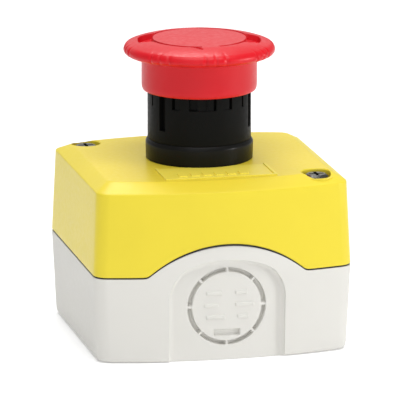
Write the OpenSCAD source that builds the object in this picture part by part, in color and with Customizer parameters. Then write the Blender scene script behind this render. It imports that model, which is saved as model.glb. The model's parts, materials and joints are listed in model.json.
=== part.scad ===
// Emergency stop button in a surface-mounted one-hole enclosure.
// Millimetres, +Z up through the mushroom, origin at the centre of the enclosure's underside.
// -Y is the side with the front cable entry. Grey base, yellow lid, black head, red mushroom.

/* [Enclosure] */
// Largest width and depth, at the seam between base and lid
box_size = 68; // [66:0.5:72]
// Height of the lid's top face above the wall
box_h = 46.6; // [44:0.2:50]
// Height of the seam at the corners
seam_z = 22.4; // [20:0.2:24]
// How far the front and back faces bow out
bow = 4.5; // [3:0.1:5]
// How far the faces draw in from the seam towards the wall and towards the lid
draft = 0.95; // [0.6:0.05:1.2]
// Radius of the upright corners
corner_r = 4; // [3:0.5:5]
// Height of the bevel round the lid's top face
bevel_drop = 2.2; // [1.6:0.1:3]
// Inward run of that bevel at the sides
bevel_run_side = 3.7; // [3:0.1:4.5]
// Inward run of that bevel at the front and back
bevel_run_front = 4.9; // [4:0.1:5.5]
// Floor and top wall thickness
wall = 2.5; // [2:0.1:3]
// Height of the arch over the cable entries, above the corners' seam
arch_h = 8.1; // [7:0.1:9]
// Radius of that arch
arch_r = 31; // [29:0.5:33]
// Gap between base and lid
seam_gap = 0.3; // [0.2:0.05:0.4]

/* [Cable entry] */
// Height of the knock-out's centre
entry_z = 14.2; // [13.5:0.1:14.8]
// Inner diameter of the knock-out's groove
knock_in_d = 18.8; // [18:0.2:19]
// Outer diameter of the knock-out's groove, for a 20 mm gland
knock_out_d = 20.9; // [20.5:0.1:21.5]
// Depth of the arched panel round the knock-out
panel_sink = 1.3; // [1:0.1:1.5]
// Half width of that panel
panel_half_w = 15.3; // [14.5:0.1:16]

/* [Fixings] */
// Half spacing of the wall screw holes in X
fix_x = 27; // [26.5:0.1:27.2]
// Half spacing of the wall screw holes in Y
fix_y = 19; // [18:0.5:20]
// Diameter of the wall screw holes
fix_d = 4.3; // [4:0.1:4.5]

/* [Head] */
// Panel hole in the lid
hole_d = 22.5; // [22.3:0.1:22.8]
// Outer radius of the bezel ring
ring_r = 14.05; // [13.8:0.05:14.5]
// Height of the bezel ring
ring_h = 5.4; // [4.9:0.1:5.6]
// Outer radius of the slotted sleeve
sleeve_r = 13.5; // [13.3:0.1:13.6]
// Radius of the stem's shaft
stem_r = 5.95; // [5.9:0.01:5.96]
// Largest radius of the mushroom
cap_r = 19.9; // [19.5:0.1:20.5]
// Radius of the mushroom's skirt
skirt_r = 15.05; // [15:0.05:15.3]

/* [Hidden] */
$fn = 64;
eps = 0.01;
half = box_size / 2;
screw_front = [25.4, -24.2];
screw_back = [-25.6, 22.4];
yellow = "#f0dc4b";
pale_grey = "#dcdcda";
black = "#242424";
red = "#da2a32";
steel = "#b9bcc0";
brass = "#c9a24a";
dark_rubber = "#3a3a3c";
grey = "#8d9194";

// heights inside the lid and the head
lid_in_z = box_h - wall;
ring_z = box_h;
sleeve_z = box_h + ring_h;
sleeve_top = 70.5;
castle_z = 61.4;
long_slot_z = 55.4;
sleeve_floor = 54.9;
collar_r = 11.1;
collar_bottom = 34;
guide_r = 6;
guide_top = 62.2;
guide_wall_r = 8.6;
pin_z = 60;
pin_r = 1;
seat_z = 67;
skirt_z = 64.8;
ceiling_z = 74.9;
pocket_z = 76.2;
disc_z = 77.1;
disc_r = 12.85;
cam_slope = 0.25;

// contact blocks
block_x = 5.3;
block_w = 9.8;
block_d = 30;
block_z = 4;
block_h = 22;
plunger_r = 2.05;
plunger_top = 31;
bridge_z = 15.4;
nc_strip_z = 17.4;
no_strip_z = 11.4;

// ---- plan outlines and the enclosure's outer form ----

// Outline with flat sides and bowed front and back; w and d are the half sizes on the axes
module plan(w, d, r = corner_r) {
    bow_r = (w * w + bow * bow) / (2 * bow);
    offset(r = r, $fn = 32) offset(delta = -r)
        intersection() {
            square([2 * w, 3 * d], center = true);
            translate([0, bow_r - d]) circle(r = bow_r, $fn = 180);
            translate([0, d - bow_r]) circle(r = bow_r, $fn = 180);
        }
}

module slice(z, w, d, r = corner_r) translate([0, 0, z]) linear_extrude(eps) plan(w, d, r);

module outer_form() {
    top_w = half - draft - bevel_run_side;
    top_d = half - draft - bevel_run_front;
    hull() {
        slice(0, half - draft - 0.7, half - draft - 0.7);
        slice(0.8, half - draft, half - draft);
        slice(seam_z, half, half);
        slice(box_h - bevel_drop, half - draft, half - draft);
        slice(box_h - eps, top_w, top_d, 3);
    }
}

// Everything below the seam line, raised by dz: flat at the corners, arched front and back
module below_seam(dz = 0) {
    reach = sqrt(pow(arch_r, 2) - pow(arch_r - arch_h, 2));
    arch_a = asin(reach / arch_r);
    steps = 24;
    arch = [for (i = [0 : steps]) let (a = arch_a * (1 - 2 * i / steps))
        [arch_r * sin(a), seam_z + arch_h - arch_r + arch_r * cos(a)]];
    translate([0, half + 5, dz]) rotate([90, 0, 0]) linear_extrude(box_size + 10)
        polygon(concat([[-half - 5, -5 - dz], [half + 5, -5 - dz], [half + 5, seam_z]],
            arch, [[-half - 5, seam_z]]));
}

// Ring-shaped wall between two plan outlines
module plan_ring(w_out, w_in, z, h) {
    translate([0, 0, z]) linear_extrude(h) difference() {
        plan(w_out, w_out);
        plan(w_in, w_in, corner_r - 0.5);
    }
}

module at_screws() for (p = [screw_front, screw_back]) translate([p[0], p[1], 0]) children();
module at_fixings() for (s = [-1, 1]) translate([s * fix_x, s * fix_y, 0]) children();

// ---- base ----
base_in = 30;
lip_w = 30.9;
lid_in = 31.2;
seal_out = 32.6;
seal_in = 31.3;
base_boss_top = 25.6;
boss_r = 4.6;

module panel_outline() {
    r = arch_r - 3.7;
    offset(r = 5, $fn = 32) offset(delta = -5) intersection() {
        translate([-panel_half_w, -12]) square([2 * panel_half_w, 60]);
        translate([0, seam_z + arch_h - arch_r]) circle(r = r, $fn = 96);
    }
}

// Sunk arched panel, knock-out groove with its bridges, and the screwdriver notch, on the -Y side
module entry_cut() {
    difference() {
        translate([0, -20, 0]) rotate([90, 0, 0]) linear_extrude(30) panel_outline();
        translate([0, 0, -20]) linear_extrude(80) plan(half - draft, half - draft / 2 - panel_sink);
    }
    translate([0, -30.7, entry_z]) rotate([90, 0, 0]) difference() {
        cylinder(d = knock_out_d, h = 10);
        translate([0, 0, -1]) cylinder(d = knock_in_d, h = 12);
        for (i = [0 : 7]) rotate(45 * i) translate([0, -0.6, -1]) cube([20, 1.2, 2.2]);
    }
    translate([-3.3, -40, entry_z - 7.9]) cube([6.6, 8.5, 1.8]);
}

module base_shell() color(pale_grey) difference() {
    union() {
        difference() {
            intersection() {
                outer_form();
                below_seam();
            }
            translate([0, 0, wall]) linear_extrude(box_h) plan(base_in, base_in, 3);
            intersection() {
                plan_ring(seal_out + 0.05, seal_in - 0.05, 5, 40);
                difference() {
                    translate([-40, -40, 5]) cube([80, 80, 40]);
                    below_seam(-0.8);
                }
            }
        }
        intersection() {
            plan_ring(lip_w, base_in, wall, 40);
            below_seam(2.2);
        }
        intersection() {
            at_screws() cylinder(r = boss_r, h = base_boss_top);
            linear_extrude(60) plan(lip_w, lip_w);
        }
    }
    at_screws() translate([0, 0, 12]) cylinder(r = 2.6, h = 30);
    at_fixings() {
        translate([0, 0, -1]) cylinder(d = fix_d, h = 10);
        translate([0, 0, wall]) cylinder(r = 4.1, h = 14);
    }
    for (s = [-1, 1]) translate([s * 14, 0, 1]) cylinder(r = 1.3, h = 10);
    entry_cut();
    mirror([0, 1, 0]) entry_cut();
}

module base_gasket() color(dark_rubber) intersection() {
    plan_ring(seal_out, seal_in, 5, 40);
    difference() {
        below_seam(0.15);
        below_seam(-0.75);
    }
}

module screw_inserts() color(brass) at_screws() translate([0, 0, 14]) difference() {
    cylinder(r = 2.6, h = base_boss_top - 14);
    translate([0, 0, -1]) cylinder(r = 1.75, h = 20);
}

// ---- lid ----
head_sink = 2.1;
module lid_shell() color(yellow) difference() {
    union() {
        difference() {
            outer_form();
            below_seam(seam_gap);
            translate([0, 0, -1]) linear_extrude(lid_in_z + 1) plan(lid_in, lid_in, 3.2);
        }
        intersection() {
            at_screws() translate([0, 0, base_boss_top + 0.3])
                cylinder(r = boss_r, h = box_h - base_boss_top - 1);
            linear_extrude(box_h - 1) plan(lid_in + 0.1, lid_in + 0.1, 3.2);
        }
    }
    translate([0, 0, 30]) cylinder(d = hole_d, h = 30);
    at_screws() {
        translate([0, 0, 10]) cylinder(r = 2, h = 50);
        translate([0, 0, box_h - head_sink]) cylinder(r = 3.8, h = 10);
    }
}

// Pan-head cross-recess screws, held in the lid
module lid_screws() color(steel) at_screws() difference() {
    union() {
        translate([0, 0, 16]) cylinder(r = 1.7, h = box_h - head_sink - 16 + 0.5);
        translate([0, 0, box_h - head_sink]) cylinder(r = 3.2, h = 1.1);
        translate([0, 0, box_h - head_sink + 1.1]) cylinder(r1 = 3.2, r2 = 2.4, h = 0.5);
    }
    for (a = [0, 90]) rotate(a) translate([-2, -0.4, box_h - head_sink + 0.5]) cube([4, 0.8, 3]);
}

// Blank raised label in front of the head
module legend_plate() color(yellow) translate([0, 0, box_h]) difference() {
    translate([-14.7, -26.2, 0]) cube([29.4, 13.2, 0.45]);
    translate([0, 0, -1]) cylinder(r = ring_r + 0.3, h = 3);
}

// ---- head ----
slot_angles = [-63.7, -45.4, -30, -6.6, 17.9, 37.7];
slot_face = 257.1;

module head_body() color(black) difference() {
    union() {
        translate([0, 0, sleeve_z]) cylinder(r = sleeve_r, h = sleeve_top - sleeve_z);
        translate([0, 0, box_h]) cylinder(r = 12, h = ring_h + 0.1);
        translate([0, 0, collar_bottom]) cylinder(r = collar_r, h = box_h - collar_bottom + 1);
    }
    difference() {
        translate([0, 0, sleeve_floor]) cylinder(r = 11.9, h = 30);
        translate([0, 0, sleeve_floor - 1]) cylinder(r = guide_wall_r, h = guide_top - sleeve_floor + 1);
    }
    translate([0, 0, 20]) cylinder(r = guide_r, h = 60);
    translate([0, 0, collar_bottom - 1]) cylinder(r = 9, h = 17);
    translate([0, 0, 47.9]) cylinder(r = 8, h = 2.2);
    translate([0, 0, pin_z]) rotate([0, 90, 0]) cylinder(r = pin_r + 0.05, h = 18, center = true);
    for (third = [0 : 2], a = slot_angles) {
        w = a == -45.4 ? 2.1 : (a == -6.6 ? 2.2 : 0.7);
        z = a == -45.4 ? long_slot_z : castle_z;
        rotate(slot_face + third * 120 + a) translate([sleeve_r - 1, -w / 2, z]) cube([3, w, 30]);
    }
}

module bezel_ring() color(black) difference() {
    union() {
        translate([0, 0, ring_z]) cylinder(r = ring_r, h = ring_h - 0.9);
        translate([0, 0, ring_z + ring_h - 0.9]) cylinder(r1 = ring_r, r2 = ring_r - 0.5, h = 0.9);
    }
    translate([0, 0, ring_z - 1]) cylinder(r = 12, h = 10);
    translate([0, 0, ring_z - 1]) difference() {
        cylinder(r = 13.4, h = 1.8);
        cylinder(r = 12.3, h = 1.8);
    }
}

module head_gasket() color(dark_rubber) translate([0, 0, ring_z]) difference() {
    cylinder(r = 13.4, h = 0.8);
    translate([0, 0, -1]) cylinder(r = 12.3, h = 3);
}

module lock_washer() color(steel) translate([0, 0, lid_in_z - 0.8]) difference() {
    union() {
        cylinder(r = 14, h = 0.8);
        translate([-2, 12, 0]) cube([4, 4, 0.8]);
    }
    translate([0, 0, -1]) cylinder(r = collar_r, h = 3);
}

module fixing_nut() color(grey) translate([0, 0, lid_in_z - 4.8]) difference() {
    cylinder(r = 14.6, h = 4);
    translate([0, 0, -1]) cylinder(r = collar_r, h = 6);
    for (i = [0 : 11]) rotate(30 * i) translate([15, 0, -1]) cylinder(r = 1.5, h = 6);
}

module stem_seal() color(dark_rubber) translate([0, 0, 47.9]) difference() {
    cylinder(r = 8, h = 2.1);
    translate([0, 0, -1]) cylinder(r = stem_r + 0.08, h = 4);
}

module latch_clip() color(steel) rotate(100) translate([0, 0, pin_z]) rotate_extrude(angle = 340)
    translate([9.5, 0]) circle(r = 0.3, $fn = 16);

module latch_pin(side) color(steel) translate([side * 6.25, 0, pin_z]) rotate([0, side * 90, 0])
    cylinder(r = pin_r, h = 2.8);
module latch_pin_left() latch_pin(-1);
module latch_pin_right() latch_pin(1);

// Round wire wound into an open coil from z0 to z1
module coil(mean_r, wire_r, z0, z1, turns) {
    pitch = (z1 - z0 - 2 * wire_r) / turns;
    per_turn = 12;
    n = turns * per_turn;
    sides = 6;
    function ring_at(i) = let (a = 360 * i / per_turn, z = z0 + wire_r + pitch * i / per_turn)
        [for (k = [0 : sides - 1]) let (b = 360 * k / sides, r = mean_r + wire_r * cos(b))
            [r * cos(a), r * sin(a), z + wire_r * sin(b)]];
    points = [for (i = [0 : n]) each ring_at(i)];
    walls = [for (i = [0 : n - 1], k = [0 : sides - 1]) let (m = (k + 1) % sides)
        [i * sides + k, (i + 1) * sides + k, (i + 1) * sides + m, i * sides + m]];
    ends = [[for (k = [0 : sides - 1]) k], [for (k = [sides - 1 : -1 : 0]) n * sides + k]];
    polyhedron(points, concat(walls, ends), convexity = 10);
}

module return_spring() color(steel) coil(10.6, 0.5, sleeve_floor, seat_z, 4);

// ---- moving stem ----
module stem() color(grey) difference() {
    union() {
        translate([0, 0, 31.3]) cylinder(r = 3.5, h = 3);
        translate([0, 0, 33.3]) cylinder(r = stem_r, h = 59 - 33.3);
        translate([0, 0, 59]) cylinder(r1 = stem_r, r2 = stem_r - 6 * cam_slope, h = 6);
        translate([0, 0, 65 - eps]) cylinder(r = stem_r - 6 * cam_slope, h = pocket_z + 0.1 - 65 + eps);
    }
    translate([0, 0, 66]) cylinder(r = 1.4, h = 20);
}

module spring_seat() color(grey) translate([0, 0, seat_z]) difference() {
    union() {
        cylinder(r = 11.4, h = 1.2);
        cylinder(r = 6.3, h = 1.7);
    }
    translate([0, 0, -1]) cylinder(r = stem_r - 6 * cam_slope, h = 6);
}

module actuator_disc() color(grey) translate([0, 0, 31.3]) difference() {
    cylinder(r = 8, h = 2);
    translate([0, 0, -1]) cylinder(r = 3.5, h = 4);
}

module twist_spring() color(steel) coil(8.2, 0.4, seat_z + 1.25, ceiling_z - 0.5, 3);

module cap_washer() color(steel) translate([0, 0, pocket_z + 0.1]) difference() {
    cylinder(r = 6.5, h = 0.3);
    translate([0, 0, -1]) cylinder(r = 1.6, h = 3);
}

module cap_screw() color(steel) difference() {
    union() {
        translate([0, 0, 68]) cylinder(r = 1.4, h = pocket_z + 0.4 - 68);
        translate([0, 0, pocket_z + 0.4]) cylinder(r = 2.2, h = 0.35);
    }
    translate([-1.5, -0.3, pocket_z + 0.55]) cube([3, 0.6, 1]);
}

// ---- mushroom ----
function arc(cx, cy, r, a0, a1, n = 8) =
    [for (i = [0 : n]) let (a = a0 + (a1 - a0) * i / n) [cx + r * cos(a), cy + r * sin(a)]];

module mushroom_cap() color(red) difference() {
    rotate_extrude($fn = 96) polygon(concat(
        [[13.9, ceiling_z], [13.9, skirt_z + 0.2], [14.1, skirt_z]],
        arc(skirt_r - 1.6, skirt_z + 1.6, 1.6, -60, 0, 5),
        [[skirt_r, 73.6]],
        arc(skirt_r + 0.9, 73.6, 0.9, 180, 90, 4),
        arc(cap_r - 1.8, 75.5, 1.8, -80, 70, 12),
        [[17, 77.5], [14.6, 78], [disc_r, 78.2], [disc_r, disc_z], [11, disc_z], [11, pocket_z],
            [4.5, pocket_z], [4.5, 69.2], [6.6, 69.2], [6.6, ceiling_z]]));
    for (a = [5, 185]) rotate(a) intersection() {
        translate([0, 0, disc_z + 0.2]) cylinder(r = 16.4, h = 5);
        linear_extrude(90) polygon([[10, -4], [30, -9], [30, 9], [10, 4]]);
    }
}

module cap_disc() color(red) translate([0, 0, disc_z]) rotate_extrude($fn = 96) polygon(concat(
    [[0, 0], [disc_r, 0], [disc_r, 1.2]],
    [for (i = [1 : 8]) let (r = disc_r * (1 - i / 8)) [r, 1.2 + 0.25 * (1 - pow(r / disc_r, 2))]]));

// ---- contact blocks: a normally closed one at -X and a normally open one at +X ----
module block_carrier() color(grey) translate([0, 0, wall]) difference() {
    translate([-17, -16.5, 0]) cube([34, 33, block_z - wall]);
    for (s = [-1, 1]) translate([s * 14, 0, -1]) cylinder(r = 1.5, h = 5);
}

module carrier_screws() color(steel) for (s = [-1, 1]) translate([s * 14, 0, 0]) difference() {
    union() {
        translate([0, 0, 1]) cylinder(r = 1.3, h = 3.5);
        translate([0, 0, block_z]) cylinder(r = 2.4, h = 1.5);
    }
    for (a = [0, 90]) rotate(a) translate([-1.5, -0.3, block_z + 0.6]) cube([3, 0.6, 2]);
}

// side is the direction of the cover; the block stands at side * block_x
module at_block(side) translate([side * block_x, 0, 0]) mirror([side < 0 ? 1 : 0, 0, 0]) children();

module housing(strip_z) difference() {
    translate([-block_w / 2, -block_d / 2, block_z]) cube([block_w, block_d, block_h]);
    translate([-block_w / 2 + 1.2, -11.6, block_z + 2]) cube([block_w, 23.2, block_h - 4]);
    translate([0, 0, block_z + 4]) cylinder(r = plunger_r + 0.06, h = 30);
    for (s = [-1, 1]) {
        translate([-2.6, s > 0 ? 11.5 : -16, strip_z]) cube([5.2, 4.5, 30]);
        translate([0, s * 13.2, strip_z - 3]) cylinder(r = 1.4, h = 10);
    }
}

module cover() translate([block_w / 2, -block_d / 2, block_z]) cube([1.2, block_d, block_h - 0.4]);

module plunger() difference() {
    union() {
        translate([0, 0, 12]) cylinder(r = plunger_r, h = plunger_top - 12.6);
        translate([0, 0, plunger_top - 0.6]) cylinder(r1 = plunger_r, r2 = plunger_r - 0.5, h = 0.6);
        translate([-2.9, -2.9, 12]) cube([5.8, 5.8, 7.8]);
    }
    translate([-2.1, -4, bridge_z - 0.3]) cube([4.2, 8, 3.8]);
}

// Moving contact bar; tips points up for the block that opens, down for the one that closes
module bridge(tips) {
    translate([-2, -10, bridge_z]) cube([4, 20, 0.8]);
    for (s = [-1, 1]) translate([0, s * 8.2, bridge_z + (tips > 0 ? 0.7 : -0.7)])
        cylinder(r = 1.2, h = 0.8);
}

module terminals(strip_z, tips) for (s = [-1, 1]) difference() {
    union() {
        translate([-2, s > 0 ? 6.8 : -15, strip_z]) cube([4, 8.2, 0.8]);
        translate([0, s * 8.2, strip_z + (tips > 0 ? -0.35 : 0.7)]) cylinder(r = 1.2, h = 0.5);
    }
    translate([0, s * 13.2, strip_z - 1]) cylinder(r = 1.45, h = 3);
}

module clamps(strip_z) for (s = [-1, 1]) translate([0, s * 13.2, strip_z + 1.6]) difference() {
    translate([-2.2, -1.7, 0]) cube([4.4, 3.4, 0.7]);
    translate([0, 0, -1]) cylinder(r = 1.45, h = 3);
}

module block_screws(strip_z) for (s = [-1, 1]) translate([0, s * 13.2, strip_z]) difference() {
    union() {
        translate([0, 0, -2.5]) cylinder(r = 1.4, h = 5);
        translate([0, 0, 2.3]) cylinder(r = 1.75, h = 1.4);
    }
    translate([-2, -0.25, 3.1]) cube([4, 0.5, 2]);
}

module nc_housing() color(black) at_block(-1) housing(nc_strip_z);
module nc_cover() color(grey) at_block(-1) cover();
module nc_plunger() color(red) at_block(-1) plunger();
module nc_bridge() color(brass) at_block(-1) bridge(1);
module nc_spring() color(steel) at_block(-1) coil(2.2, 0.3, block_z + 2, 12, 3);
module nc_terminals() color(brass) at_block(-1) terminals(nc_strip_z, 1);
module nc_clamps() color(steel) at_block(-1) clamps(nc_strip_z);
module nc_screws() color(steel) at_block(-1) block_screws(nc_strip_z);

module no_housing() color(black) at_block(1) housing(no_strip_z);
module no_cover() color(grey) at_block(1) cover();
module no_plunger() color("seagreen") at_block(1) plunger();
module no_bridge() color(brass) at_block(1) bridge(-1);
module no_spring() color(steel) at_block(1) coil(2.2, 0.3, block_z + 2, 12, 3);
module no_terminals() color(brass) at_block(1) terminals(no_strip_z, -1);
module no_clamps() color(steel) at_block(1) clamps(no_strip_z);
module no_screws() color(steel) at_block(1) block_screws(no_strip_z);

base_shell();
base_gasket();
screw_inserts();
lid_shell();
lid_screws();
legend_plate();
head_body();
bezel_ring();
head_gasket();
lock_washer();
fixing_nut();
stem_seal();
latch_clip();
latch_pin_left();
latch_pin_right();
return_spring();
stem();
spring_seat();
actuator_disc();
twist_spring();
cap_washer();
cap_screw();
mushroom_cap();
cap_disc();
block_carrier();
carrier_screws();
nc_housing();
nc_cover();
nc_plunger();
nc_bridge();
nc_spring();
nc_terminals();
nc_clamps();
nc_screws();
no_housing();
no_cover();
no_plunger();
no_bridge();
no_spring();
no_terminals();
no_clamps();
no_screws();
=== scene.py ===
"""Looks of the emergency stop button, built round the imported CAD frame. Sizes are in metres."""
import json
import math

import bpy
import bmesh
import numpy as np
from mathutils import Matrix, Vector


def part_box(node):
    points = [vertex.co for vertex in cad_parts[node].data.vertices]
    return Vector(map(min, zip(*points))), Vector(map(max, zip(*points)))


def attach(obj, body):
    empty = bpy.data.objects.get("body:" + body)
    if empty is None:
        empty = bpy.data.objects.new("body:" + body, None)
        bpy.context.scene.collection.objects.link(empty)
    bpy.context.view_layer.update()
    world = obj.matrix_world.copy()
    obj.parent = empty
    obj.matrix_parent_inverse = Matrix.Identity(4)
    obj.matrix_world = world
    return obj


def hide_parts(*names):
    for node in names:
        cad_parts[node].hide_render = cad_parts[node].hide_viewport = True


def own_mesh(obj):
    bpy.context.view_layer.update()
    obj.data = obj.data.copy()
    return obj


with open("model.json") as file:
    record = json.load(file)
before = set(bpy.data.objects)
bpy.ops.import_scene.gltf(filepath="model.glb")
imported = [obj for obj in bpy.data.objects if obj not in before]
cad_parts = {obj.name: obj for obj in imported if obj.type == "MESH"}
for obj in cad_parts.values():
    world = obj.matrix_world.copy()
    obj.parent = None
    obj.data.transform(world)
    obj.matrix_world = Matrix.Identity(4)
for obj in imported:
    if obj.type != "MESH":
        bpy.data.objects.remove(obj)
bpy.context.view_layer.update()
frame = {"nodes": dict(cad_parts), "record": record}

MM = 0.001
SMOOTH_ANGLE = math.radians(32)

# ---- sizes taken from the frame ----
BASE_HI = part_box("base_shell")[1]
LID_LO, LID_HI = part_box("lid_shell")
RING_LO, RING_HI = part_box("bezel_ring")
SLEEVE_LO, SLEEVE_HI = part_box("head_body")
CAP_LO, CAP_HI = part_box("mushroom_cap")

HALF = BASE_HI.x                      # half size of the box at its seam
LID_TOP = LID_HI.z
DRAFT = 0.95 * MM                     # how far the walls draw in, above and below the seam
WAIST = HALF - DRAFT
BOW = 4.5 * MM                        # bow of the front and back faces
CORNER_R = 4 * MM
CAD_GAP = 0.3 * MM                    # gap between base and lid in the frame
SEAM_Z = LID_LO.z - CAD_GAP           # the seam's height at the corners
SEAM_GAP = 0.42 * MM
EDGE = 0.16 * MM                      # rounding of the walls' edges along the seam
FOOT_Z = 0.8 * MM                     # height of the chamfer round the base's underside
ARCH_H = 8.1 * MM                     # rise of the lid's edge over the cable entries
ARCH_R = 31 * MM
SHOULDER_Z = LID_TOP - 2.2 * MM
TOP_W = WAIST - 3.7 * MM
TOP_D = WAIST - 4.9 * MM
LID_IN = 31.2 * MM
INNER_CORNER_R = 3.2 * MM
LID_CEILING = LID_TOP - 2.5 * MM
BASE_IN = 30 * MM
LIP_W = 30.9 * MM
LIP_H = 2.2 * MM
GROOVE_OUT, GROOVE_IN, GROOVE_D = 32.65 * MM, 31.25 * MM, 0.8 * MM
FLOOR_Z = 2.5 * MM
HOLE_R = 11.25 * MM
SCREWS = [(25.4 * MM, -24.2 * MM), (-25.6 * MM, 22.4 * MM)]
FIXINGS = [(27 * MM, 19 * MM), (-27 * MM, -19 * MM)]
BOSS_R = 4.6 * MM
BOSS_TOP = 25.6 * MM
ENTRY_Z = 14.2 * MM
RING_R = RING_HI.x
SLEEVE_R = SLEEVE_HI.x
CAP_R = CAP_HI.x
SKIRT_R = 15.05 * MM
SKIRT_Z = CAP_LO.z


# ---- materials ----
def material(name, colour, rough, metal=0.0, grain=0.25, grain_scale=900.0, mottle=0.06,
             specular=0.5, stretch=(1, 1, 1)):
    """Moulded or machined surface: colour mottling, a roughness map and a fine bumped grain."""
    m = bpy.data.materials.new(name)
    m.use_nodes = True
    nt = m.node_tree
    bsdf = nt.nodes["Principled BSDF"]
    bsdf.inputs["Metallic"].default_value = metal
    bsdf.inputs["Specular IOR Level"].default_value = specular
    coords = nt.nodes.new("ShaderNodeTexCoord")
    scale = nt.nodes.new("ShaderNodeMapping")
    scale.inputs["Scale"].default_value = stretch
    nt.links.new(coords.outputs["Object"], scale.inputs["Vector"])

    def noise(size, detail):
        n = nt.nodes.new("ShaderNodeTexNoise")
        n.inputs["Scale"].default_value = size
        n.inputs["Detail"].default_value = detail
        nt.links.new(scale.outputs["Vector"], n.inputs["Vector"])
        return n

    def ramp(source, low, high):
        r = nt.nodes.new("ShaderNodeMapRange")
        r.inputs["From Min"].default_value = 0.3
        r.inputs["From Max"].default_value = 0.7
        r.inputs["To Min"].default_value = low
        r.inputs["To Max"].default_value = high
        nt.links.new(source.outputs["Fac"], r.inputs["Value"])
        return r

    cloud = noise(70.0, 4.0)
    tone = nt.nodes.new("ShaderNodeMix")
    tone.data_type = "RGBA"
    tone.inputs[6].default_value = [c * (1 - mottle) for c in colour] + [1]
    tone.inputs[7].default_value = [min(1.0, c * (1 + mottle)) for c in colour] + [1]
    nt.links.new(cloud.outputs["Fac"], tone.inputs[0])
    nt.links.new(tone.outputs[2], bsdf.inputs["Base Color"])
    fine = noise(grain_scale, 3.0)
    nt.links.new(ramp(fine, rough * 0.85, min(1.0, rough * 1.15)).outputs["Result"],
                 bsdf.inputs["Roughness"])
    bump = nt.nodes.new("ShaderNodeBump")
    bump.inputs["Strength"].default_value = grain
    bump.inputs["Distance"].default_value = 0.00004
    nt.links.new(fine.outputs["Fac"], bump.inputs["Height"])
    nt.links.new(bump.outputs["Normal"], bsdf.inputs["Normal"])
    return m


YELLOW = material("yellow_plastic", (0.75, 0.61, 0.045), 0.34, mottle=0.03, specular=0.18)
LABEL = material("label_yellow", (0.84, 0.72, 0.085), 0.4, mottle=0.02, specular=0.3)
GREY = material("base_plastic", (0.66, 0.65, 0.615), 0.5, mottle=0.02, specular=0.2)
RED = material("red_plastic", (0.63, 0.006, 0.014), 0.36, mottle=0.04, grain=0.12, specular=0.28)
BLACK = material("black_plastic", (0.006, 0.0062, 0.006), 0.42, grain=0.6, mottle=0.2, specular=0.05)
GREEN = material("green_plastic", (0.03, 0.22, 0.07), 0.45)
INNER = material("grey_plastic", (0.16, 0.17, 0.18), 0.5, grain=0.3)
RUBBER = material("seal_rubber", (0.02, 0.02, 0.021), 0.8, grain=0.5, grain_scale=500)
STEEL = material("steel", (0.56, 0.56, 0.54), 0.28, metal=1.0, grain=0.2, stretch=(1, 1, 8))
BEZEL = material("bezel_black", (0.007, 0.0072, 0.007), 0.34, grain=0.5, mottle=0.2, specular=0.12)
# lid screws: metal colour darkened to stand in for the shade in their counterbores, painted shade
SCREW = material("screw_metal_painted_shade", (0.13, 0.13, 0.12), 0.3, metal=1.0, grain=0.3)
BRASS = material("brass", (0.72, 0.49, 0.18), 0.3, metal=1.0, grain=0.2)
SLOT_MATERIAL = {
    "yellow_plastic": YELLOW, "base_plastic": GREY, "red_plastic": RED, "black_plastic": BLACK,
    "green_plastic": GREEN, "grey_plastic": INNER, "seal_rubber": RUBBER, "steel": STEEL, "brass": BRASS,
}


# ---- mesh helpers ----
def new_object(name, bm, mat, smooth=True):
    """Makes an object from a bmesh, with its faces turned outward, and frees the bmesh."""
    bmesh.ops.recalc_face_normals(bm, faces=bm.faces)
    mesh = bpy.data.meshes.new(name)
    bm.to_mesh(mesh)
    bm.free()
    obj = bpy.data.objects.new(name, mesh)
    bpy.context.scene.collection.objects.link(obj)
    if mat:
        mesh.materials.append(mat)
    if smooth:
        shade(obj)
    return obj


def shade(obj, angle=SMOOTH_ANGLE):
    """Smooth shading, with edges over the angle kept sharp."""
    obj.data.shade_smooth()
    obj.data.set_sharp_from_angle(angle=angle)


def loft(rings, closed=False, cap_start=False, cap_end=False):
    """A bmesh of quads through rings of points; closed joins the last ring to the first."""
    bm = bmesh.new()
    rows = [[bm.verts.new(p) for p in ring] for ring in rings]
    n = len(rows[0])
    pairs = list(zip(rows[:-1], rows[1:])) + ([(rows[-1], rows[0])] if closed else [])
    for a, b in pairs:
        for i in range(n):
            j = (i + 1) % n
            bm.faces.new((a[i], a[j], b[j], b[i]))
    for wanted, row in ((cap_start, rows[0]), (cap_end, rows[-1])):
        if wanted:
            centre = bm.verts.new(sum((v.co for v in row), Vector()) / n)
            for i in range(n):
                bm.faces.new((row[i], row[(i + 1) % n], centre))
    return bm


def lathe(profile, n=192):
    """Rings about the Z axis from a list of (radius, z)."""
    turn = [2 * math.pi * i / n for i in range(n)]
    return [[(r * math.cos(a), r * math.sin(a), z) for a in turn] for r, z in profile]


def corner(p0, p1, p2, cut, steps=5):
    """Points that round the corner p1 of a polyline, starting and ending at a distance cut from it."""
    a, b, c = (np.array(p, float) for p in (p0, p1, p2))
    start = b + (a - b) * min(0.5, cut / np.linalg.norm(a - b))
    end = b + (c - b) * min(0.5, cut / np.linalg.norm(c - b))
    ts = [i / steps for i in range(steps + 1)]
    return [tuple((1 - t) ** 2 * start + 2 * t * (1 - t) * b + t * t * end) for t in ts]


def rounded(points, cuts, closed=False):
    """A polyline with its corners rounded; cuts holds one distance per point, 0 for a sharp one."""
    out = []
    n = len(points)
    for i, (p, cut) in enumerate(zip(points, cuts)):
        if cut == 0 or (not closed and i in (0, n - 1)):
            out.append(tuple(p))
        else:
            out += corner(points[i - 1], p, points[(i + 1) % n], cut)
    return out


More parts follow.
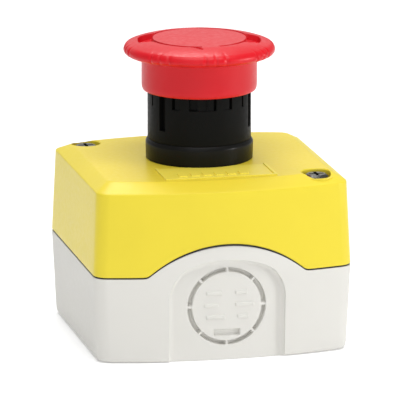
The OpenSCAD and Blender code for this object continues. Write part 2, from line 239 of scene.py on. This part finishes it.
def cylinder(radius, z0, z1, x=0.0, y=0.0, n=96, chamfer=0.0):
    """A bmesh cylinder along Z; chamfer widens its top rim."""
    profile = [(radius, z0), (radius, z1)]
    if chamfer:
        rim = radius + chamfer
        profile = [(radius, z0), (radius, z1 - chamfer), (rim, z1), (rim, z1 + chamfer)]
    bm = loft(lathe(profile, n), cap_start=True, cap_end=True)
    bmesh.ops.translate(bm, verts=bm.verts, vec=(x, y, 0))
    return bm


def block(lo, hi):
    """A bmesh box between two corners."""
    bm = bmesh.new()
    bmesh.ops.create_cube(bm, size=1)
    lo, hi = Vector(lo), Vector(hi)
    bmesh.ops.scale(bm, verts=bm.verts, vec=hi - lo)
    bmesh.ops.translate(bm, verts=bm.verts, vec=(lo + hi) / 2)
    return bm


def combine(obj, bm, operation="DIFFERENCE"):
    """Cuts a closed bmesh out of an object, or joins it on."""
    tool = new_object("tool", bm, None, smooth=False)
    mod = obj.modifiers.new("cut", "BOOLEAN")
    mod.operation = operation
    mod.solver = "EXACT"
    mod.object = tool
    mesh = bpy.data.meshes.new_from_object(obj.evaluated_get(bpy.context.evaluated_depsgraph_get()))
    obj.modifiers.clear()
    obj.data = mesh
    bpy.data.objects.remove(tool)
    shade(obj)


def place(obj, body, slot, *nodes):
    """Says which body a piece rides and hides the CAD nodes it stands in for; the slot argument is not
    used.
    """
    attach(obj, body)
    if nodes:
        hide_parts(*nodes)
    return obj


# ---- the box's outline and walls ----
def plan(w, d, r=CORNER_R, bow_steps=90, side_steps=18, corner_steps=9):
    """Points round the outline with flat sides and bowed front and back; w and d lie on the axes."""
    big = (w * w + BOW * BOW) / (2 * BOW)
    yc = d - big + math.sqrt((big - r) ** 2 - (w - r) ** 2)
    lean = math.atan2(w - r, yc - (d - big))
    quarter = []
    for i in range(side_steps // 2):
        quarter.append((w, yc * i / (side_steps // 2)))
    for i in range(corner_steps):
        a = (math.pi / 2 - lean) * i / corner_steps
        quarter.append((w - r + r * math.cos(a), yc + r * math.sin(a)))
    half_steps = bow_steps // 2
    for i in range(half_steps):
        a = lean * (1 - i / half_steps)
        quarter.append((big * math.sin(a), d - big + big * math.cos(a)))
    top = quarter + [(0.0, d)] + [(-x, y) for x, y in reversed(quarter[1:])] + [(-w, 0.0)]
    bottom = [(x, -y) for x, y in reversed(top[1:-1])]
    return np.array(top + bottom)


def seam(xy):
    """Height of the seam line at an outline's points: flat at the corners, arched front and back."""
    x, y = xy[:, 0], xy[:, 1]
    arch = SEAM_Z + ARCH_H - ARCH_R + np.sqrt(np.maximum(ARCH_R ** 2 - x ** 2, 0))
    rise = arch - SEAM_Z
    soft = 0.5 * MM
    lift = 0.5 * (rise + np.sqrt(rise ** 2 + soft ** 2)) - 0.1 * soft
    return SEAM_Z + np.where((np.abs(x) < 24 * MM) & (np.abs(y) > 20 * MM), np.maximum(lift, 0), 0)


def wall_ring(z, inset=0.0):
    """Outline points on the walls at heights z (one per point), moved in by inset."""
    at_seam = plan(HALF - inset, HALF - inset)
    narrow = plan(WAIST - inset, WAIST - inset)
    z = np.broadcast_to(z, len(at_seam))
    below = np.clip((SEAM_Z - z) / (SEAM_Z - FOOT_Z), 0, 1)
    above = np.clip((z - SEAM_Z) / (SHOULDER_Z - SEAM_Z), 0, 1)
    t = (below + above)[:, None]
    xy = at_seam * (1 - t) + narrow * t
    return [(x, y, h) for (x, y), h in zip(xy, z)]


def flat_ring(w, d, z, r=CORNER_R):
    """The box's outline at one height."""
    return [(x, y, z) for x, y in plan(w, d, r)]


def level_ring(w, dz, r=CORNER_R):
    """A ring of half size w that follows the seam line, dz above it."""
    xy = plan(w, w, r)
    return [(x, y, h) for (x, y), h in zip(xy, seam(plan(HALF, HALF)) + dz)]


def between(ring_a, ring_b, share):
    """The ring a share of the way from one ring to another."""
    return [tuple(np.array(p) * (1 - share) + np.array(q) * share) for p, q in zip(ring_a, ring_b)]


def circle_ring(ring, radius, z):
    """The circle whose points lie in the directions of a ring's points."""
    out = []
    for x, y, _ in ring:
        k = radius / math.hypot(x, y)
        out.append((x * k, y * k, z))
    return out


def make_lid():
    """The yellow lid, from the seam to its top, with its front's flat and the bores through its top."""
    line = seam(plan(HALF, HALF)) + SEAM_GAP
    # the bevel round the top, as (z, half width, half depth, corner radius) in one polyline
    bevel = rounded([(SHOULDER_Z - 4 * MM, WAIST + 0.17 * MM, WAIST + 0.17 * MM, CORNER_R),
                     (SHOULDER_Z, WAIST, WAIST, CORNER_R),
                     (LID_TOP, TOP_W, TOP_D, 3 * MM),
                     (LID_TOP, TOP_W - 4 * MM, TOP_D - 4 * MM, 3 * MM)], [0, 0.35 * MM, 0.45 * MM, 0])
    rings = [level_ring(LID_IN, SEAM_GAP, INNER_CORNER_R)]
    rings += [level_ring(HALF - 1.2 * MM, SEAM_GAP)]
    for i in range(5):
        a = math.radians(90 * i / 4)
        rings.append(wall_ring(line + EDGE * (1 - math.cos(a)), EDGE * (1 - math.sin(a))))
    for t in (0.1, 0.3, 0.5, 0.7, 0.9):
        rings.append(wall_ring(line + EDGE + (bevel[0][0] - line - EDGE) * t))
    rings += [flat_ring(w, d, z, r) for z, w, d, r in bevel]
    brim = circle_ring(rings[-1], HOLE_R + 0.4 * MM, LID_TOP)
    rings += [between(rings[-1], brim, t) for t in (0.35, 0.7, 1.0)]
    rings.append(circle_ring(brim, HOLE_R, LID_TOP - 0.4 * MM))
    rings.append(circle_ring(brim, HOLE_R, LID_CEILING))
    ceiling = flat_ring(LID_IN, LID_IN, LID_CEILING, INNER_CORNER_R)
    rings += [between(rings[-1], ceiling, t) for t in (0.5, 0.95)]
    rings.append(flat_ring(LID_IN, LID_IN, LID_CEILING - MM, INNER_CORNER_R))
    lid = new_object("yellow_lid", loft(rings, closed=True), YELLOW)
    for x, y in SCREWS:
        combine(lid, cylinder(BOSS_R, BOSS_TOP + SEAM_GAP, LID_TOP - MM, x, y), "UNION")
        combine(lid, cylinder(3.8 * MM, LID_TOP - 2.1 * MM, LID_TOP, x, y, chamfer=0.25 * MM))
        combine(lid, cylinder(2 * MM, 10 * MM, LID_TOP, x, y, n=48))
    return place(lid, "lid", "yellow_plastic", "lid_shell")


# ---- cable entry ----
PANEL_HALF = 15.3 * MM                # half width of the sunk panel
PANEL_R = ARCH_R - 3.7 * MM           # radius of its arched top
PANEL_CORNER = 5 * MM
PANEL_SINK = 1.45 * MM
COVE = 1.5 * MM                       # width of the curved edge round the panel
KNOCK_MID = 9.74 * MM                 # radius of the knock-out groove's middle
KNOCK_HALF = 0.52 * MM                # half of the groove's width
KNOCK_DEPTH = 1.45 * MM
TAB_DEPTH = 0.12 * MM                 # how far the bridges lie below the panel
# plain raised bars on the knock-out: height of each row, then the ends of its two bars, in mm
BAR_ROWS = ((3.6, (-5.4, -1.5), (2.2, 5.2)),
            (0.4, (-6.0, -2.4), (2.2, 7.0)),
            (-2.8, (-5.4, -0.6), (2.8, 5.6)))


def panel_inside(x, z):
    """How far a point lies inside the arched panel's outline."""
    a = PANEL_HALF - abs(x)
    b = PANEL_R - math.hypot(x, z - (SEAM_Z + ARCH_H - ARCH_R))
    if a < PANEL_CORNER and b < PANEL_CORNER:
        return PANEL_CORNER - math.hypot(PANEL_CORNER - a, PANEL_CORNER - b)
    return min(a, b)


def ease(t):
    """Smooth step from 0 to 1."""
    t = max(0.0, min(1.0, t))
    return t * t * (3 - 2 * t)


def bar(distance, half, edge):
    """1 within half of a line, easing to 0 over edge."""
    return 1 - ease((abs(distance) - half + edge / 2) / edge)


def entry_depth(x, z):
    """Depth of the sunk panel, knock-out groove, notch and raised bars at a point of the face."""
    inside = panel_inside(x, z)
    if inside < 0:
        return inside
    t = min(1.0, inside / COVE)
    depth = PANEL_SINK * math.sqrt(t * (2 - t))
    u, v = x, z - ENTRY_Z
    r = math.hypot(u, v)
    groove = bar(r - KNOCK_MID, KNOCK_HALF, 0.22 * MM)
    if groove > 0:
        off = (math.degrees(math.atan2(v, u)) + 22.5) % 45 - 22.5
        tab = bar(math.radians(off) * r, 0.45 * MM, 0.3 * MM)
        depth += groove * (KNOCK_DEPTH - tab * (KNOCK_DEPTH - TAB_DEPTH))
    notch = bar(u, 3.4 * MM, 0.2 * MM) * bar(v + 7.0 * MM, 0.8 * MM, 0.2 * MM)
    depth += 0.8 * MM * notch
    for row, left, right in BAR_ROWS:
        for a, b in (left, right):
            mid, half = (a + b) / 2 * MM, (b - a) / 2 * MM
            depth -= 0.3 * MM * bar(u - mid, half, 0.2 * MM) * bar(v - row * MM, 0.42 * MM, 0.2 * MM)
    return depth


def face_y(x, z):
    """Distance of the front face from the middle plane."""
    d = HALF - DRAFT * (abs(z - SEAM_Z) / (SEAM_Z if z < SEAM_Z else SHOULDER_Z - SEAM_Z))
    big = (d * d + BOW * BOW) / (2 * BOW)
    return d - big + math.sqrt(big * big - x * x)


def panel_reach(angle):
    """Distance from the knock-out's centre to just past the panel's outline, or to below the base."""
    lo, hi = 0.0, 40 * MM
    for _ in range(30):
        mid = (lo + hi) / 2
        x, z = mid * math.cos(angle), mid * math.sin(angle) + ENTRY_Z
        within = panel_inside(x, z) > -0.4 * MM and z > -3 * MM
        lo, hi = (mid, hi) if within else (lo, mid)
    return lo


def entry_cutter(side):
    """A closed solid whose inner face is the entry panel's surface; side is -1 for the front."""
    n = 288
    turn = [2 * math.pi * i / n for i in range(n)]

    def row_at(reach):
        return [(r * math.cos(a), ENTRY_Z + r * math.sin(a)) for r, a in zip(reach, turn)]

    # rings about the knock-out's centre, close together at the groove's walls
    radii = [0.3] + [0.6 + 0.16 * i for i in range(53)]
    radii += [9.08, 9.16, 9.24, 9.32, 9.4, 9.6, 9.78, 9.96, 10.16, 10.24, 10.32, 10.4, 10.48]
    last = radii[-1] * MM
    edge = [panel_reach(a) for a in turn]
    rows = [row_at([r * MM] * n) for r in radii]
    for share in (0.03, 0.1, 0.25):
        rows.append(row_at([last + (e - last) * share for e in edge]))
    # then rings that follow the panel's outline, close together at the cove's steep end
    for inside in (2.1, 1.7, 1.4, 1.15, 0.9, 0.7, 0.52, 0.36, 0.23, 0.13, 0.06, 0.02, 0.0, -0.02, -0.4):
        rows.append(row_at([max(last * 1.1, e - (inside + 0.4) * MM) for e in edge]))
    rings = [[(x, side * (face_y(x, z) - entry_depth(x, z)), z) for x, z in row] for row in rows]
    rings.append([(x, side * (HALF + 6 * MM), z) for x, z in rows[-1]])
    return loft(rings, cap_start=True, cap_end=True)


def make_base():
    """The grey base: walls up to the seam, gasket groove, lip, cavity, bosses, holes and cable entries."""
    line = seam(plan(HALF, HALF))
    foot = rounded([(0, WAIST - 2 * MM, WAIST - 2 * MM), (0, WAIST - 0.7 * MM, WAIST - 0.7 * MM),
                    (FOOT_Z, WAIST, WAIST), (3 * MM, WAIST, WAIST)], [0, 0.5 * MM, 0.6 * MM, 0])[:-1]
    rings = [flat_ring(w, d, z) for z, w, d in foot]
    for t in (0.04, 0.25, 0.5, 0.75, 0.95):
        rings.append(wall_ring(FOOT_Z + (line - EDGE - FOOT_Z) * t))
    for i in range(5):
        a = math.radians(90 * i / 4)
        rings.append(wall_ring(line - EDGE * (1 - math.sin(a)), EDGE * (1 - math.cos(a))))
    steps = [(GROOVE_OUT, 0), (GROOVE_OUT, -GROOVE_D), (GROOVE_IN, -GROOVE_D), (GROOVE_IN, 0),
             (LIP_W, 0), (LIP_W, LIP_H - 0.2 * MM), (LIP_W - 0.2 * MM, LIP_H), (BASE_IN, LIP_H)]
    rings += [level_ring(w, dz) for w, dz in steps]
    rings.append(flat_ring(BASE_IN, BASE_IN, FLOOR_Z + 0.5 * MM))
    rings.append(flat_ring(BASE_IN - 0.5 * MM, BASE_IN - 0.5 * MM, FLOOR_Z))
    base = new_object("grey_base", loft(rings, cap_start=True, cap_end=True), GREY)
    for side in (-1, 1):
        combine(base, entry_cutter(side))
    for x, y in SCREWS:
        combine(base, cylinder(BOSS_R, FLOOR_Z - MM, BOSS_TOP, x, y), "UNION")
        combine(base, cylinder(2.6 * MM, 12 * MM, BOSS_TOP + MM, x, y, n=48))
    for x, y in FIXINGS:
        combine(base, cylinder(2.15 * MM, -MM, 10 * MM, x, y, n=48))
        combine(base, cylinder(4.1 * MM, FLOOR_Z, 16 * MM, x, y, n=64))
    return place(base, "base", "base_plastic", "base_shell")


def make_gasket_and_shade_lip():
    """The seam's seal in its groove, with a thin dark lip out to the walls that shows as the dark line
    between base and lid: painted shade for the seam gap's shadow.
    """
    # the lip from the groove out to here is dark rubber standing in for the seam gap's shadow, painted
    # shade
    outer = HALF - 0.2 * MM
    steps = [(GROOVE_IN + 0.05 * MM, -0.75 * MM), (GROOVE_IN + 0.05 * MM, 0.15 * MM),
             (GROOVE_OUT, 0.28 * MM), (outer, 0.36 * MM), (outer, 0.04 * MM),
             (GROOVE_OUT - 0.05 * MM, 0.04 * MM), (GROOVE_OUT - 0.05 * MM, -0.75 * MM)]
    gasket = new_object("seam_gasket_and_shade_lip", loft([level_ring(w, dz) for w, dz in steps], closed=True), RUBBER)
    return place(gasket, "base", "seal_rubber", "base_gasket")


# ---- head ----
SLOT_FACE = 257.1                     # direction in degrees that the slot angles count from
LONG_SLOT, WIDE_SLOT = -45.4, -6.6
SLOT_ANGLES = (-63.7, LONG_SLOT, -30.0, WIDE_SLOT, 17.9, 37.7)
# shallow panels beside some slots, as degrees from the slot's middle
SHALLOW_PANELS = {-30.0: (0, 8.6), WIDE_SLOT: (0, 15.5), 17.9: (-8.6, 0), 37.7: (-8.6, 0)}
CASTLE_Z = 61.4 * MM                  # bottom of the slots
LONG_SLOT_Z = 55.4 * MM
BORE_R = 11.9 * MM
BORE_Z = 54.9 * MM
GUIDE_OUT, GUIDE_IN = 8.6 * MM, 6 * MM
GUIDE_TOP = 62.2 * MM
COLLAR_R, COLLAR_IN = 11.1 * MM, 9 * MM
COLLAR_CEILING = 50 * MM


def sector_cutter(angle_from, angle_to, r_in, z0, z1, steps=6):
    """A closed wedge of a tube, from r_in outwards past the sleeve."""
    r_out = SLEEVE_R + 3 * MM
    angles = [math.radians(angle_from + (angle_to - angle_from) * i / steps) for i in range(steps + 1)]
    bm = bmesh.new()
    rows = []
    for a in angles:
        c, s = math.cos(a), math.sin(a)
        rows.append([bm.verts.new((r * c, r * s, z)) for r, z in
                     ((r_in, z0), (r_out, z0), (r_out, z1), (r_in, z1))])
    for p, q in zip(rows[:-1], rows[1:]):
        for i in range(4):
            j = (i + 1) % 4
            bm.faces.new((p[i], p[j], q[j], q[i]))
    bm.faces.new(rows[0])
    bm.faces.new(rows[-1][::-1])
    return bm


def make_sleeve():
    """The black slotted sleeve with its neck, collar, floor and guide tube."""
    foot = RING_HI.z
    top = SLEEVE_HI.z
    neck = 12 * MM
    profile = rounded([
        (COLLAR_IN, COLLAR_CEILING), (COLLAR_IN, SLEEVE_LO.z), (COLLAR_R, SLEEVE_LO.z),
        (COLLAR_R, LID_TOP), (neck, LID_TOP), (neck, foot), (SLEEVE_R, foot), (SLEEVE_R, top),
        (BORE_R, top), (BORE_R, BORE_Z), (GUIDE_OUT, BORE_Z), (GUIDE_OUT, GUIDE_TOP),
        (GUIDE_IN, GUIDE_TOP), (GUIDE_IN, COLLAR_CEILING)],
        [0, 0.3 * MM, 0.3 * MM, 0, 0, 0, 0.2 * MM, 0.4 * MM, 0.3 * MM, 0.5 * MM, 0.5 * MM, 0.3 * MM,
         0.3 * MM, 0], closed=True)
    sleeve = new_object("black_sleeve", loft(lathe(profile, 240), closed=True), BLACK)
    for third in range(3):
        for a in SLOT_ANGLES:
            at = SLOT_FACE + third * 120 + a
            if a == LONG_SLOT:
                slot = (-4.5, 4.5, LONG_SLOT_Z, 1.35 * MM)
            elif a == WIDE_SLOT:
                slot = (-4.7, 4.7, CASTLE_Z, 1.0 * MM)
            else:
                slot = (-1.5, 1.5, CASTLE_Z, 1.3 * MM)
            cuts = [slot]
            if a in SHALLOW_PANELS:
                cuts.append((*SHALLOW_PANELS[a], CASTLE_Z, 0.3 * MM))
            for lo, hi, z0, deep in cuts:
                combine(sleeve, sector_cutter(at + lo, at + hi, SLEEVE_R - deep, z0, top + 2 * MM))
    return place(sleeve, "lid", "black_plastic", "head_body")


def make_ring():
    """The black ring at the foot of the head."""
    z0, z1 = RING_LO.z, RING_HI.z
    inner = 12.02 * MM
    profile = rounded([(inner, z0), (RING_R - 0.1 * MM, z0), (RING_R, z1 - 0.9 * MM),
                       (RING_R - 0.5 * MM, z1), (inner, z1)],
                      [0, 0.25 * MM, 0.3 * MM, 0.25 * MM, 0], closed=True)
    ring = new_object("bezel", loft(lathe(profile, 240), closed=True), BEZEL)
    return place(ring, "lid", "black_plastic", "bezel_ring")


def make_legend():
    """Label without print: a thin plate with a raised rim and six pads, notched for the ring."""
    lo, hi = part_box("legend_plate")
    frame_w = 0.7 * MM
    plate = new_object("blank_label", block((lo.x, lo.y, lo.z), (hi.x, hi.y, hi.z - 0.02 * MM)), LABEL)
    combine(plate, block((lo.x + frame_w, lo.y + frame_w, hi.z - 0.28 * MM),
                         (hi.x - frame_w, hi.y + MM, hi.z + MM)))
    for i in range(6):
        x = (-10.5 + 3.2 * i) * MM
        pad = block((x, -23.4 * MM, lo.z + 0.1 * MM), (x + 2.2 * MM, -20.4 * MM, hi.z - 0.03 * MM))
        combine(plate, pad, "UNION")
    combine(plate, cylinder(RING_R + 0.25 * MM, lo.z - MM, hi.z + 2 * MM, n=128))
    bevel = plate.modifiers.new("edge", "BEVEL")
    bevel.width = 0.05 * MM
    bevel.segments = 2
    bevel.limit_method = "ANGLE"
    return place(plate, "lid", "yellow_plastic", "legend_plate")


# ---- mushroom ----
DISC_R = 12.55 * MM
FLUTE_MID = 270.3                     # middle of one group of three flutes, in degrees
ARROW_TIP = 259                       # where the left arrow ends, in degrees
CROWN_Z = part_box("cap_disc")[1].z


def arc_share(angle, start, end, fade):
    """1 for angles (degrees) between start and end, easing to 0 over fade outside."""
    mid, half = (start + end) / 2, (end - start) / 2
    off = abs((angle - mid + 180) % 360 - 180)
    return 1 - ease((off - half) / fade)


def signed_angle(angle, origin):
    """Degrees from origin to angle, between -180 and 180."""
    return ((angle - origin + 180) % 360) - 180


def groove_relief(r, angle):
    """Depth of the arrows' shafts: a groove along the disc's edge, broken twice in each half turn."""
    left = arc_share(angle, 172, ARROW_TIP, 2.0)
    right = arc_share(angle, 283, 348, 2.0)
    return 0.85 * MM * bar(r - DISC_R, 0.34 * MM, 0.2 * MM) * max(left, right)


def barb_relief(r, angle):
    """Depth of an arrow's barb, a short groove that leans outwards from the shaft."""
    off = signed_angle(angle, ARROW_TIP)
    if not -9 < off < 3:
        return 0.0
    line = DISC_R + 0.5 * MM + (off + 6) * 0.17 * MM
    along = ease((off + 9) / 2) * (1 - ease((off - 0.5) / 2))
    return 0.7 * MM * bar(r - line, 0.34 * MM, 0.25 * MM) * along


def pocket_relief(r, angle, start, end):
    """Depth of a finger pocket outside the disc, between two angles."""
    mid, half = (start + end) / 2, (end - start) / 2
    reach = 1 - abs(signed_angle(angle, mid)) / half
    if reach <= 0:
        return 0.0
    outer = DISC_R + 0.6 * MM + 3.0 * MM * min(1.0, reach * 2)
    inner_wall = ease((r - DISC_R + 0.25 * MM) / (0.3 * MM))
    outer_wall = 1 - ease((r - outer + 0.5 * MM) / (0.5 * MM))
    return 1.5 * MM * inner_wall * outer_wall * ease(reach * 7)


def cap_relief(r, angle):
    """Depth of the turn-to-release arrows in the cap's top at a radius and an angle in degrees."""
    depths = []
    for turn in (0, 180):
        a = angle - turn
        depths += [groove_relief(r, a), barb_relief(r, a)]
        depths += [pocket_relief(r, a, start, end) for start, end in ((140, 187), (327, 372))]
    return max(depths)


def flute_relief(r, z, angle):
    """Depth of the grip flutes in the rim, in groups of three."""
    off = (angle - FLUTE_MID + 22.5) % 45 - 22.5
    if r <= 18 * MM or abs(off) >= 10:
        return 0.0
    on_rim = bar(z - 75.6 * MM, 1.6 * MM, 1.0 * MM)
    return 0.26 * MM * on_rim * max(0.0, math.cos(math.radians(off * 45))) ** 2


def make_cap():
    """The mushroom: a domed top with arrows, a fluted rim, the underside, the skirt and the inside."""
    n = 432
    turn = [2 * math.pi * i / n for i in range(n)]
    crown = CROWN_Z - 0.05 * MM
    top_edge = 17.6 * MM

    def top_z(r):
        past_disc = max(0.0, (r - DISC_R) / (top_edge - DISC_R))
        return crown - MM * (0.2 * (r / DISC_R) ** 2 + 0.8 * past_disc ** 1.6)

    # the rings lie close together where the groove's walls are
    radii = [0.4, 1.5, 3, 4.5, 6, 7.5, 9, 10.2, 11.2, 11.8, 12.1]
    radii += [12.2, 12.28, 12.36, 12.44, 12.55, 12.66, 12.74, 12.82, 12.9, 13.05]
    radii += [13.25 + 0.2 * i for i in range(20)] + [17.3]
    rings = []
    for r in (k * MM for k in radii):
        rings.append([(r * math.cos(a), r * math.sin(a), top_z(r) - cap_relief(r, math.degrees(a)))
                      for a in turn])
    low = 73.9 * MM
    outline = rounded([
        (top_edge - 0.3 * MM, top_z(top_edge)), (CAP_R - 0.55 * MM, 76.8 * MM), (CAP_R, 74.95 * MM),
        (18.7 * MM, low), (SKIRT_R, low - 0.1 * MM), (SKIRT_R, SKIRT_Z), (13.9 * MM, SKIRT_Z),
        (13.9 * MM, 74.9 * MM), (6.6 * MM, 74.9 * MM), (6.6 * MM, 69.2 * MM), (4.5 * MM, 69.2 * MM),
        (4.5 * MM, 75.4 * MM)],
        [0, 1.3 * MM, 0.85 * MM, 1.3 * MM, 0.8 * MM, 1.9 * MM, 0.3 * MM, 0.6 * MM, 0.5 * MM, 0.3 * MM,
         0.3 * MM, 0])
    for r, z in outline[1:]:
        reach = [r - flute_relief(r, z, math.degrees(a)) for a in turn]
        rings.append([(k * math.cos(a), k * math.sin(a), z) for k, a in zip(reach, turn)])
    cap = new_object("red_mushroom", loft(rings, cap_start=True, cap_end=True), RED)
    return place(cap, "cap", "red_plastic", "mushroom_cap", "cap_disc")


# ---- springs ----
def make_spring(name, node, body, joint, radius, wire, turns, centre=(0.0, 0.0)):
    """A coil spring with closed end turns, swept as a round wire."""
    lo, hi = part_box(node)
    per_turn, sides = 40, 12
    total = turns + 2
    steps = per_turn * total
    bottom, top = lo.z + wire, hi.z - wire
    rings = []
    for i in range(steps + 1):
        t = i / per_turn
        if t < 1:
            rise = 2 * wire * t
        elif t > total - 1:
            rise = top - bottom - 2 * wire * (total - t)
        else:
            rise = 2 * wire + (top - bottom - 4 * wire) * (t - 1) / turns
        a = 2 * math.pi * t
        rings.append([(centre[0] + (radius + wire * math.cos(b)) * math.cos(a),
                       centre[1] + (radius + wire * math.cos(b)) * math.sin(a),
                       bottom + rise + wire * math.sin(b))
                      for b in (2 * math.pi * k / sides for k in range(sides))])
    coil = new_object(name, loft(rings, cap_start=True, cap_end=True), STEEL)
    place(coil, body, "steel", node)
    if joint:
        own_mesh(coil)
    return coil


# ---- carried-over CAD pieces ----
def dress_cad_nodes():
    """Every CAD node that still shows gets its slot's material and slightly broken edges."""
    slots = {s["node"]: s["material_slot"] for s in frame["record"]["subparts"]}
    for name, obj in frame["nodes"].items():
        if obj.hide_render:
            continue
        obj.data.materials.clear()
        # the lid screws get the metal colour darkened with painted shade from their counterbores
        obj.data.materials.append(SCREW if name == "lid_screws" else SLOT_MATERIAL[slots[name]])
        bevel = obj.modifiers.new("edge", "BEVEL")
        bevel.width = 0.08 * MM
        bevel.segments = 2
        bevel.limit_method = "ANGLE"
        bevel.angle_limit = math.radians(40)


make_base()
make_gasket_and_shade_lip()
make_lid()
make_sleeve()
make_ring()
make_legend()
make_cap()
make_spring("head_spring", "return_spring", "lid", "push", 10.6 * MM, 0.5 * MM, 4)
make_spring("release_spring", "twist_spring", "stem", None, 8.2 * MM, 0.4 * MM, 3)
make_spring("nc_return", "nc_spring", "base", "nc_press", 2.2 * MM, 0.3 * MM, 3, (-5.3 * MM, 0))
make_spring("no_return", "no_spring", "base", "no_press", 2.2 * MM, 0.3 * MM, 3, (5.3 * MM, 0))
dress_cad_nodes()


# ---- floor, light, camera ----
AZIMUTH, ELEVATION = math.radians(-12.87), math.radians(12.48)
DISTANCE = 1.422                      # of the camera from a point 50 mm above the floor's middle
AIM = Vector((0.0002, 0, 0.0349))
LENS = 490.41                         # focal length in mm, for a sensor 36 mm wide


def studio():
    """A white floor and world, lit by five area lights."""
    floor_bm = bmesh.new()
    bmesh.ops.create_grid(floor_bm, x_segments=8, y_segments=8, size=3)
    backdrop = material("floor", (0.9, 0.9, 0.9), 0.9, grain=0.05, mottle=0.004, specular=0.1)
    glow = backdrop.node_tree.nodes["Principled BSDF"].inputs
    glow["Emission Color"].default_value = (1, 1, 1, 1)
    glow["Emission Strength"].default_value = 0.2
    floor = new_object("floor", floor_bm, backdrop)
    floor.location.z = -0.0001
    world = bpy.data.worlds.new("studio")
    bpy.context.scene.world = world
    world.use_nodes = True
    world.node_tree.nodes["Background"].inputs["Color"].default_value = (1, 1, 1, 1)
    world.node_tree.nodes["Background"].inputs["Strength"].default_value = 0.32

    def softbox(name, place_at, aim, size, power):
        data = bpy.data.lights.new(name, "AREA")
        data.shape = "RECTANGLE"
        data.size, data.size_y = size
        data.energy = power
        lamp = bpy.data.objects.new(name, data)
        bpy.context.scene.collection.objects.link(lamp)
        lamp.location = place_at
        lamp.rotation_euler = (Vector(aim) - Vector(place_at)).to_track_quat("-Z", "Y").to_euler()

    softbox("top", (0.0, -0.26, 0.8), (0, 0, 0.05), (0.7, 0.5), 4.8)
    softbox("high_back", (0.03, 0.42, 0.75), (0, 0, 0.05), (0.3, 0.3), 2.6)
    softbox("back", (-0.1, 1.0, 0.42), (0, 0, 0.07), (1.2, 0.35), 0.9)
    softbox("right", (0.98, -0.5, 0.2), (0, 0, 0.03), (0.16, 0.16), 3.9)
    softbox("front_left", (-0.35, -0.95, 0.45), (0, 0, 0.04), (0.7, 0.7), 1.5)


def camera():
    """A long lens in front of the box, a little to its left and above it."""
    data = bpy.data.cameras.new("front_view")
    data.sensor_width = 36
    data.lens = LENS
    data.clip_end = 20
    cam = bpy.data.objects.new("front_view", data)
    bpy.context.scene.collection.objects.link(cam)
    back = Vector((math.sin(AZIMUTH) * math.cos(ELEVATION), -math.cos(AZIMUTH) * math.cos(ELEVATION),
                   math.sin(ELEVATION)))
    cam.location = Vector((0, 0, 0.05)) + back * DISTANCE
    cam.rotation_euler = (AIM - cam.location).to_track_quat("-Z", "Y").to_euler()
    bpy.context.scene.camera = cam


studio()
camera()
bpy.context.scene.view_settings.view_transform = "Standard"
